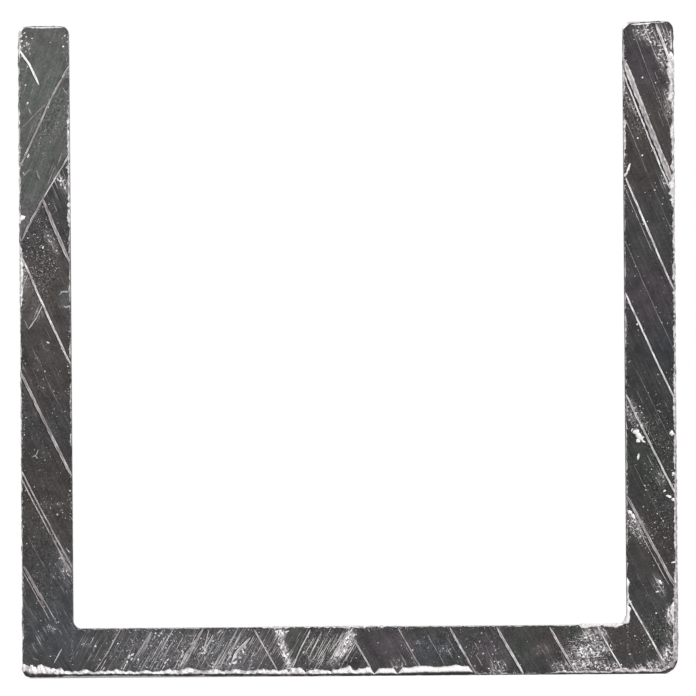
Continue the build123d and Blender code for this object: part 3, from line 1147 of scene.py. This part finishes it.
def add_burr(shape, end, burr, seed):
    """Adds one burr along an edge: darker ones are lumpier, and those under the web are rounder."""
    length = distances(np.array(burr.points, float))[-1]
    path = evenly(burr.points, max(6, int(length / BURR_STEP)))
    along = distances(path)
    inward = left_of(path)
    faces_down = inward[:, 1] > 0.5

    at = noise_row(along, 5.3 * seed)
    broken = 1 - min(burr.width / WHOLE_BURR, 1.0)
    lumpy = min(1.0, 0.1 + 10 * (1 - burr.tone))
    crumbly = smooth_noise(at, 0.13, seed + 1) + 0.5 * smooth_noise(at, 0.07, seed + 4)
    rounded = 0.8 * smooth_noise(at, 0.65 * burr.width, seed + 1)
    swell = np.where(faces_down, rounded + 0.4 * crumbly, crumbly)
    size = 0.85 + (0.20 + 0.5 * broken) * smooth_noise(at, 0.6, seed)
    size += (0.05 + 0.25 * lumpy + 0.4 * broken) * swell
    taper = np.clip(np.minimum(along, length - along) / BURR_TAPER + 0.05, 0, 1)
    reach = burr.width * taper * np.maximum(size, 0.05)

    lumps = lumpy * fine_noise(at, 3, len(BURR_ACROSS), seed + 2)
    across = reach[:, None] * BURR_ACROSS + 0.10 * np.minimum(reach, 0.3)[:, None] * lumps
    top = path[:, None] + across[..., None] * inward[:, None]
    top[..., 1] = np.maximum(top[..., 1], 0)
    rise = burr.lift * taper[:, None] * BURR_LIFT * (0.85 + 0.4 * lumps) - 0.03 * (BURR_LIFT == 0)
    places = np.concatenate((top, top[:, -1:], top[:, :1]), axis=1)
    lift = np.concatenate((rise, np.full((len(path), 2), -BURR_SUNK)), axis=1)
    # Burrs that face down get painted shade on their outer side
    tones = burr.tone * np.where(faces_down[:, None], BURR_TONE_WITH_PAINTED_SHADE, BURR_TONE)
    tones *= 1 - 0.25 * min(1.0, 8 * (1 - burr.tone)) * lumps
    tones = np.concatenate((tones, tones[:, -1:], tones[:, :1]), axis=1).ravel()
    points = on_end(end, places, lift).reshape(-1, 3)
    faces = loft_faces(len(path), len(BURR_ACROSS) + 2)
    shape.add(points, faces, tones, grain_flow(points, seed))


def make_burrs(end, looks):
    """The lumpy burrs along the edges of one sawn end."""
    shape = Shape()
    for number, burr in enumerate(end.burrs):
        add_burr(shape, end, burr, end.seed * 300 + 9 * number)
    finish_shape(shape, f"burrs_{end.name}", looks)


# A chip is a top point, two rings of five points and a point below
CHIP_FACES = (
    [[0, 1 + k, 1 + (k + 1) % 5] for k in range(5)]
    + [[1 + k, 6 + k, 1 + (k + 1) % 5] for k in range(5)]
    + [[6 + k, 6 + (k + 1) % 5, 1 + (k + 1) % 5] for k in range(5)]
    + [[11, 6 + (k + 1) % 5, 6 + k] for k in range(5)]
)


def add_chip(shape, end, chip, random):
    """Adds one irregular chip of swarf that lies on a sawn end."""
    turns = np.arange(5) * math.tau / 5
    rings = [(turns, 0.75, 0.8), (turns + math.pi / 5, 1.0, 0.2)]
    thick = 0.4 * chip.short
    flat, lift = [np.zeros((1, 2))], [[0.02 + thick]]
    for angles, reach, level in rings:
        size = reach * random.uniform(0.6, 1.35, 5)
        flat.append(np.stack((np.cos(angles) * size, np.sin(angles) * size), axis=1))
        lift.append(0.02 + level * thick * random.uniform(0.7, 1.3, 5))
    flat.append(np.zeros((1, 2)))
    lift.append([-SUNK])
    angle = math.radians(chip.angle)
    turn = np.array(((math.cos(angle), math.sin(angle)), (-math.sin(angle), math.cos(angle))))
    places = (np.concatenate(flat) * (chip.long / 2, chip.short / 2)) @ turn + (chip.x, chip.z)
    places[:, 1] = np.maximum(places[:, 1], 0)
    tones = chip.tone * random.uniform(0.9, 1.15, 12)
    points = on_end(end, places, np.concatenate(lift))
    shape.add(points, CHIP_FACES, tones, grain_flow(points, 0))


def make_swarf(end, looks):
    """The swarf on one sawn end: the larger chips, and crumbs that gather near edges and marks."""
    shape = Shape()
    random = np.random.default_rng(end.seed + 900)
    for chip in end.chips:
        add_chip(shape, end, chip, random)
    drawn = (PLACES_PER_CRUMB * end.crumbs, 2)
    places = random.uniform((-HALF_WIDTH, 0), (HALF_WIDTH, HEIGHT), drawn)
    places = places[on_metal(places)]
    weight = 0.08 + 1.5 * fade(edge_distance(places), FRINGE)
    weight += 2 * in_patches(places, end.torn + end.specks)
    weight *= 1 + smooth_noise(places, 1.5, end.seed + 901)
    feet = places[:, 0] + arc_shift(places[:, 1])
    for mark in end.marks:
        near = (places[:, 1] > mark.low) & (places[:, 1] < mark.high)
        weight += near * fade(np.abs(feet - mark.foot), 0.5)
    chosen = random.choice(len(places), end.crumbs, replace=False, p=weight / weight.sum())
    for x, z in places[chosen]:
        size = 0.04 + 0.022 * random.exponential()
        short, angle, tone = size * random.uniform(0.4, 1), random.uniform(0, 180), random.uniform(0.6, 1)
        add_chip(shape, end, Chip(x, z, size, short, angle, tone), random)
    finish_shape(shape, f"swarf_{end.name}", looks)


def finish_shape(shape, name, looks):
    """Turns a shape into a piece of freshly torn metal."""
    points = np.concatenate(shape.points).tolist()
    piece = make_object(name, points, shape.faces, (torn_metal(looks),))
    set_attribute(piece, "tone", np.concatenate(shape.tones) ** SCREEN_POWER)
    set_attribute(piece, "flow", np.concatenate(shape.flows))


def add_node(tree, kind, inputs=None, **settings):
    """Adds a node, with its settings and its inputs, which are values or other nodes' outputs."""
    made = tree.nodes.new(kind)
    for key, value in settings.items():
        setattr(made, key, value)
    for key, value in (inputs or {}).items():
        if isinstance(value, bpy.types.NodeSocket):
            tree.links.new(value, made.inputs[key])
        else:
            made.inputs[key].default_value = value
    return made


def math_node(tree, operation, a, b=0.0, clamp=False):
    """The result of a math node."""
    return add_node(tree, "ShaderNodeMath", {0: a, 1: b}, operation=operation, use_clamp=clamp).outputs[0]


def times(tree, a, b, clamp=False):
    """Two values multiplied."""
    return math_node(tree, "MULTIPLY", a, b, clamp)


def plus(tree, a, b):
    """Two values added."""
    return math_node(tree, "ADD", a, b)


def range_node(tree, value, low, high, to_low, to_high):
    """A value mapped from one range to another, held at the ends."""
    inputs = {0: value, 1: low, 2: high, 3: to_low, 4: to_high}
    return add_node(tree, "ShaderNodeMapRange", inputs).outputs[0]


def mix_colours(tree, share, a, b):
    """Two colours mixed."""
    return add_node(tree, "ShaderNodeMix", {0: share, 6: a, 7: b}, data_type="RGBA").outputs[2]


def attribute_node(tree, name, output="Fac"):
    """What a piece stores for each of its points under this name."""
    return add_node(tree, "ShaderNodeAttribute", attribute_name=name).outputs[output]


def noise_node(tree, vector, scale, detail=3.0, roughness=0.6):
    """Noise from 0 to 1."""
    inputs = {"Vector": vector, "Scale": scale, "Detail": detail, "Roughness": roughness}
    return add_node(tree, "ShaderNodeTexNoise", inputs).outputs[0]


def new_group(name, inputs, outputs):
    """A new shader node group: its tree, its group input and its group output."""
    tree = bpy.data.node_groups.new(name, "ShaderNodeTree")
    for socket, kind in inputs:
        tree.interface.new_socket(socket, in_out="INPUT", socket_type=kind)
    for socket, kind in outputs:
        tree.interface.new_socket(socket, in_out="OUTPUT", socket_type=kind)
    return tree, tree.nodes.new("NodeGroupInput"), tree.nodes.new("NodeGroupOutput")


def use_group(tree, group, inputs=None):
    """A node that uses a node group."""
    return add_node(tree, "ShaderNodeGroup", inputs, node_tree=group)


def grain_group():
    """Fine grain and broad mottling of bare metal, each from 0 to 1 about a middle of 0.5."""
    name = "Metal grain"
    if name in bpy.data.node_groups:
        return bpy.data.node_groups[name]
    tree, _, result = new_group(name, (), (("Fine", "NodeSocketFloat"), ("Broad", "NodeSocketFloat")))
    place = add_node(tree, "ShaderNodeTexCoord").outputs["Object"]
    tree.links.new(noise_node(tree, place, 7000.0, 2.0), result.inputs["Fine"])
    tree.links.new(noise_node(tree, place, 1200.0, 3.0), result.inputs["Broad"])
    return tree


def crumbs_group():
    """Broken bright grains: a mask that covers more of the surface, and more brightly, with Cover."""
    name = "Broken grains"
    if name in bpy.data.node_groups:
        return bpy.data.node_groups[name]
    tree, given, result = new_group(
        name,
        (("Vector", "NodeSocketVector"), ("Scale", "NodeSocketFloat"), ("Cover", "NodeSocketFloat")),
        (("Mask", "NodeSocketFloat"),),
    )
    place, scale = given.outputs["Vector"], given.outputs["Scale"]
    small = noise_node(tree, place, scale, 2.0)
    low = range_node(tree, given.outputs["Cover"], 0.0, 1.0, 0.72, 0.42)
    mask = range_node(tree, small, low, plus(tree, low, 0.09), 0.0, 1.0)
    level = noise_node(tree, place, times(tree, scale, 0.43), 1.0)
    mask = times(tree, mask, range_node(tree, level, 0.3, 0.65, 0.15, 1.0))
    tree.links.new(mask, result.inputs["Mask"])
    return tree


def new_material(name):
    """A new material: itself, its tree and its Principled shader."""
    made = bpy.data.materials.new(name)
    made.use_nodes = True
    return made, made.node_tree, made.node_tree.nodes["Principled BSDF"]


def add_bump(tree, shader, height, strength, depth):
    """Turns a height from 0 to 1 into fine relief of this depth."""
    bump = add_node(tree, "ShaderNodeBump", {"Strength": strength, "Distance": depth, "Height": height})
    tree.links.new(bump.outputs[0], shader.inputs["Normal"])


def as_colour(values):
    """A colour property as the four numbers of a colour socket."""
    return (*values, 1.0)


def streaks(tree, lines, width, length, seed):
    """Noise drawn out along the blade's arcs, from 0 to 1."""
    split = add_node(tree, "ShaderNodeSeparateXYZ", {0: lines}).outputs
    along = math_node(tree, "SUBTRACT", split[0], split[1])
    found = []
    for across in (split[0], split[1]):
        place = add_node(tree, "ShaderNodeCombineXYZ", {
            0: times(tree, across, 1 / width),
            1: times(tree, along, 1 / length),
            2: seed,
        })
        found.append(noise_node(tree, place.outputs[0], 1.0, 2.0))
    mixed = add_node(tree, "ShaderNodeMix", {0: split[2], 2: found[0], 3: found[1]}, data_type="FLOAT")
    return mixed.outputs[0]


def sawn_metal(looks):
    """Charcoal metal between the saw marks, streaked along the blade's arcs."""
    name = "sawn_metal"
    if name in bpy.data.materials:
        return bpy.data.materials[name]
    material, tree, shader = new_material(name)
    lines = attribute_node(tree, "saw_lines", "Vector")
    torn = attribute_node(tree, "torn")
    specks = attribute_node(tree, "specks")
    place = add_node(tree, "ShaderNodeTexCoord").outputs["Object"]
    fine = streaks(tree, lines, 0.08, 2.2, 1.3)
    broad = streaks(tree, lines, 0.50, 12.0, 7.9)
    grain = use_group(tree, grain_group())

    level = range_node(tree, fine, 0.25, 0.75, 0.85, 1.15)
    level = times(tree, level, range_node(tree, broad, 0.3, 0.7, 0.90, 1.10))
    level = times(tree, level, range_node(tree, grain.outputs["Broad"], 0.3, 0.7, 0.78, 1.22))
    uneven = range_node(tree, specks, 0.0, 0.8, 0.30, 0.85)
    uneven = times(tree, range_node(tree, grain.outputs["Fine"], 0.25, 0.75, -1.0, 1.0), uneven)
    level = times(tree, level, plus(tree, uneven, 1.0))
    tinted = add_node(
        tree, "ShaderNodeVectorMath",
        {0: attribute_node(tree, "tint", "Vector"), 1: tuple(looks.charcoal)}, operation="MULTIPLY",
    )
    shaded = add_node(tree, "ShaderNodeVectorMath", {0: tinted.outputs[0], 3: level}, operation="SCALE")

    line_share = plus(tree, times(tree, torn, 0.8), 0.02)
    thin = range_node(tree, fine, 0.58, 0.68, 0.0, 1.0)
    bright = times(tree, thin, line_share)
    broken = {"Vector": place, "Scale": 6500.0, "Cover": torn}
    bright = math_node(tree, "MAXIMUM", bright, use_group(tree, crumbs_group(), broken).outputs[0])
    small = {"Vector": place, "Scale": 14000.0, "Cover": times(tree, specks, 0.62)}
    bright = math_node(tree, "MAXIMUM", bright, use_group(tree, crumbs_group(), small).outputs[0], clamp=True)
    clouds = range_node(tree, noise_node(tree, place, 3000.0), 0.35, 0.65, 0.0, 0.4)
    greyed = times(tree, torn, clouds)
    colour = mix_colours(tree, greyed, shaded.outputs[0], as_colour(looks.torn_grey))
    colour = mix_colours(tree, bright, colour, as_colour(looks.torn_white))
    tree.links.new(colour, shader.inputs["Base Color"])

    height = plus(tree, fine, times(tree, broad, 0.6))
    height = plus(tree, height, times(tree, grain.outputs["Fine"], 0.35))
    height = plus(tree, height, times(tree, bright, 0.8))
    add_bump(tree, shader, height, 0.5, 0.03 * MM)
    rough = range_node(tree, grain.outputs["Fine"], 0.2, 0.8, 0.42, 0.62)
    tree.links.new(rough, shader.inputs["Roughness"])
    shader.inputs["Metallic"].default_value = 1.0
    return material


def torn_metal(looks):
    """Freshly torn metal of saw marks, burrs and swarf, from grey to white by each point's tone."""
    name = "torn_metal"
    if name in bpy.data.materials:
        return bpy.data.materials[name]
    material, tree, shader = new_material(name)
    tone = attribute_node(tree, "tone")
    flow = attribute_node(tree, "flow", "Vector")
    grain = noise_node(tree, flow, 0.8, 2.0)
    dull = times(tree, math_node(tree, "SUBTRACT", 1.0, tone), 1.5)
    dull = math_node(tree, "MINIMUM", dull, 0.6)
    gaps = {"Vector": flow, "Scale": 0.5, "Cover": 0.7}
    gap = times(tree, use_group(tree, crumbs_group(), gaps).outputs[0], dull)
    shown = times(tree, tone, range_node(tree, grain, 0.3, 0.7, 0.70, 1.40))
    shown = times(tree, shown, math_node(tree, "SUBTRACT", 1.0, gap), clamp=True)
    dark, grey, white = map(as_colour, (looks.torn_dark_and_painted_shade, looks.torn_grey, looks.torn_white))
    # Tone 0, where shade is painted along saw marks and burrs, gives the dark colour
    colour = mix_colours(tree, range_node(tree, shown, 0.0, 0.35, 0.0, 1.0), dark, grey)
    colour = mix_colours(tree, range_node(tree, shown, 0.35, 1.0, 0.0, 1.0), colour, white)
    tree.links.new(colour, shader.inputs["Base Color"])
    add_bump(tree, shader, grain, 0.5, 0.02 * MM)
    shader.inputs["Metallic"].default_value = 0.5
    shader.inputs["Roughness"].default_value = 0.5
    return material


def mill_finish(looks):
    """Bright metal of the long faces, with fine lines along the bar as the die leaves them."""
    name = "mill_finish"
    if name in bpy.data.materials:
        return bpy.data.materials[name]
    material, tree, shader = new_material(name)
    place = add_node(tree, "ShaderNodeTexCoord").outputs["Object"]
    grain = use_group(tree, grain_group())
    drawn = add_node(tree, "ShaderNodeMapping", {"Vector": place, "Scale": (1.0, 0.004, 1.0)}).outputs[0]
    lines = noise_node(tree, drawn, 1600.0, 4.0, 0.7)
    bands = noise_node(tree, drawn, 180.0, 2.0)
    clouds = noise_node(tree, place, 45.0, 4.0)

    level = range_node(tree, lines, 0.3, 0.7, 0.84, 1.12)
    level = times(tree, level, range_node(tree, bands, 0.3, 0.7, 0.92, 1.06))
    level = times(tree, level, range_node(tree, clouds, 0.3, 0.7, 0.92, 1.06))
    colour = add_node(
        tree, "ShaderNodeVectorMath", {0: tuple(looks.mill_silver), 3: level}, operation="SCALE",
    )
    tree.links.new(colour.outputs[0], shader.inputs["Base Color"])
    rough = range_node(tree, clouds, 0.3, 0.7, 0.28, 0.42)
    rough = plus(tree, rough, range_node(tree, lines, 0.3, 0.7, -0.06, 0.08))
    tree.links.new(rough, shader.inputs["Roughness"])
    height = plus(tree, lines, times(tree, grain.outputs["Broad"], 0.1))
    add_bump(tree, shader, height, 0.25, 0.02 * MM)
    shader.inputs["Metallic"].default_value = 1.0
    return material


def seen_directly(tree):
    """1 for rays from the camera and for rays that metal or glass sends on, and 0 for the rest."""
    path = add_node(tree, "ShaderNodeLightPath").outputs
    seen = math_node(tree, "MAXIMUM", path["Is Camera Ray"], path["Is Glossy Ray"])
    return math_node(tree, "MAXIMUM", seen, path["Is Transmission Ray"])


def make_floor(stage):
    """A pale floor that keeps the bar's shadow."""
    material, tree, shader = new_material("floor")
    shader.inputs["Base Color"].default_value = as_colour(stage.floor_colour)
    shader.inputs["Roughness"].default_value = 0.9
    shader.inputs["Specular IOR Level"].default_value = 0.0
    shader.inputs["Emission Color"].default_value = (1.0, 1.0, 1.0, 1.0)
    glow = times(tree, seen_directly(tree), stage.floor_glow)
    tree.links.new(glow, shader.inputs["Emission Strength"])
    signs = ((-1, -1), (1, -1), (1, 1), (-1, 1))
    corners = [(x * FLOOR_REACH, y * FLOOR_REACH, -FLOOR_DROP) for x, y in signs]
    mesh = bpy.data.meshes.new("floor")
    mesh.from_pydata(corners, [], [(0, 1, 2, 3)])
    mesh.materials.append(material)
    floor = bpy.data.objects.new("floor", mesh)
    bpy.context.scene.collection.objects.link(floor)


def make_lamp(name, strength, disc, direction):
    """A far lamp that shines from this direction, with a disc this many degrees wide."""
    data = bpy.data.lights.new(name, "SUN")
    data.energy = strength
    data.angle = math.radians(disc)
    lamp = bpy.data.objects.new(name, data)
    bpy.context.scene.collection.objects.link(lamp)
    lamp.rotation_mode = "QUATERNION"
    lamp.rotation_quaternion = Vector(direction).to_track_quat("Z", "Y")


def make_daylight(stage):
    """White all round for the camera and for reflections, and softer light on the bar."""
    world = bpy.data.worlds.new("daylight")
    world.use_nodes = True
    tree = world.node_tree
    background = tree.nodes["Background"]
    background.inputs["Color"].default_value = (1.0, 1.0, 1.0, 1.0)
    strength = range_node(tree, seen_directly(tree), 0.0, 1.0, stage.daylight, 1.0)
    tree.links.new(strength, background.inputs["Strength"])
    bpy.context.scene.world = world


def make_camera(stage):
    """A far camera square on to the front end, which takes in only the first of the bar's length."""
    data = bpy.data.cameras.new("camera")
    data.sensor_width = 36.0
    data.lens = stage.lens
    distance = stage.view_width * stage.lens / data.sensor_width
    data.clip_start = 0.1
    data.clip_end = distance + stage.view_depth
    camera = bpy.data.objects.new("camera", data)
    bpy.context.scene.collection.objects.link(camera)
    facing = Matrix.Rotation(math.radians(90), 4, "X") @ Matrix.Rotation(-stage.roll, 4, "Z")
    spot = Vector((0.0, LOW.y - distance, stage.view_height))
    camera.matrix_world = Matrix.Translation(spot) @ facing
    bpy.context.scene.camera = camera


class CHANNEL_OT_make_bar(bpy.types.Operator):
    """Make the bar with its two sawn ends in relief"""

    bl_idname = "channel.make_bar"
    bl_label = "Make the bar"

    def execute(self, context):
        make_bar(context.scene.channel_looks)
        return {"FINISHED"}


class CHANNEL_OT_make_saw_marks(bpy.types.Operator):
    """Make the saw marks and scratches on both ends"""

    bl_idname = "channel.make_saw_marks"
    bl_label = "Make the saw marks"

    def execute(self, context):
        for end in ENDS:
            make_saw_marks(end, context.scene.channel_looks)
        return {"FINISHED"}


class CHANNEL_OT_make_burrs(bpy.types.Operator):
    """Make the burrs along the edges of both ends"""

    bl_idname = "channel.make_burrs"
    bl_label = "Make the burrs"

    def execute(self, context):
        for end in ENDS:
            make_burrs(end, context.scene.channel_looks)
        return {"FINISHED"}


class CHANNEL_OT_make_swarf(bpy.types.Operator):
    """Make the chips and crumbs of swarf on both ends"""

    bl_idname = "channel.make_swarf"
    bl_label = "Make the swarf"

    def execute(self, context):
        for end in ENDS:
            make_swarf(end, context.scene.channel_looks)
        return {"FINISHED"}


class CHANNEL_OT_make_stage(bpy.types.Operator):
    """Make the floor, the lamps, the daylight and the camera"""

    bl_idname = "channel.make_stage"
    bl_label = "Make the stage"

    def execute(self, context):
        stage = context.scene.channel_stage
        make_floor(stage)
        make_lamp("key_lamp", stage.key_light, KEY_DISC, KEY_FROM)
        make_lamp("fill_lamp", stage.fill_light, FILL_DISC, FILL_FROM)
        make_daylight(stage)
        make_camera(stage)
        context.scene.view_settings.view_transform = "Standard"
        return {"FINISHED"}


class CHANNEL_PT_panel(bpy.types.Panel):
    """The channel's settings and buttons in the sidebar."""

    bl_idname = "CHANNEL_PT_panel"
    bl_label = "Aluminium U channel"
    bl_space_type = "VIEW_3D"
    bl_region_type = "UI"
    bl_category = "Channel"

    def draw(self, context):
        for settings in (context.scene.channel_looks, context.scene.channel_stage):
            box = self.layout.box()
            for name in settings.__annotations__:
                box.prop(settings, name)
        for operator in OPERATORS:
            self.layout.operator(operator.bl_idname)


OPERATORS = (
    CHANNEL_OT_make_bar,
    CHANNEL_OT_make_saw_marks,
    CHANNEL_OT_make_burrs,
    CHANNEL_OT_make_swarf,
    CHANNEL_OT_make_stage,
)
CLASSES = (ChannelLooks, StageLooks, *OPERATORS, CHANNEL_PT_panel)


def register():
    for cls in CLASSES:
        bpy.utils.register_class(cls)
    bpy.types.Scene.channel_looks = PointerProperty(type=ChannelLooks)
    bpy.types.Scene.channel_stage = PointerProperty(type=StageLooks)


def unregister():
    del bpy.types.Scene.channel_stage
    del bpy.types.Scene.channel_looks
    for cls in reversed(CLASSES):
        bpy.utils.unregister_class(cls)


def main():
    register()
    bpy.ops.channel.make_bar()
    bpy.ops.channel.make_saw_marks()
    bpy.ops.channel.make_burrs()
    bpy.ops.channel.make_swarf()
    bpy.ops.channel.make_stage()


if __name__ == "__main__":
    main()
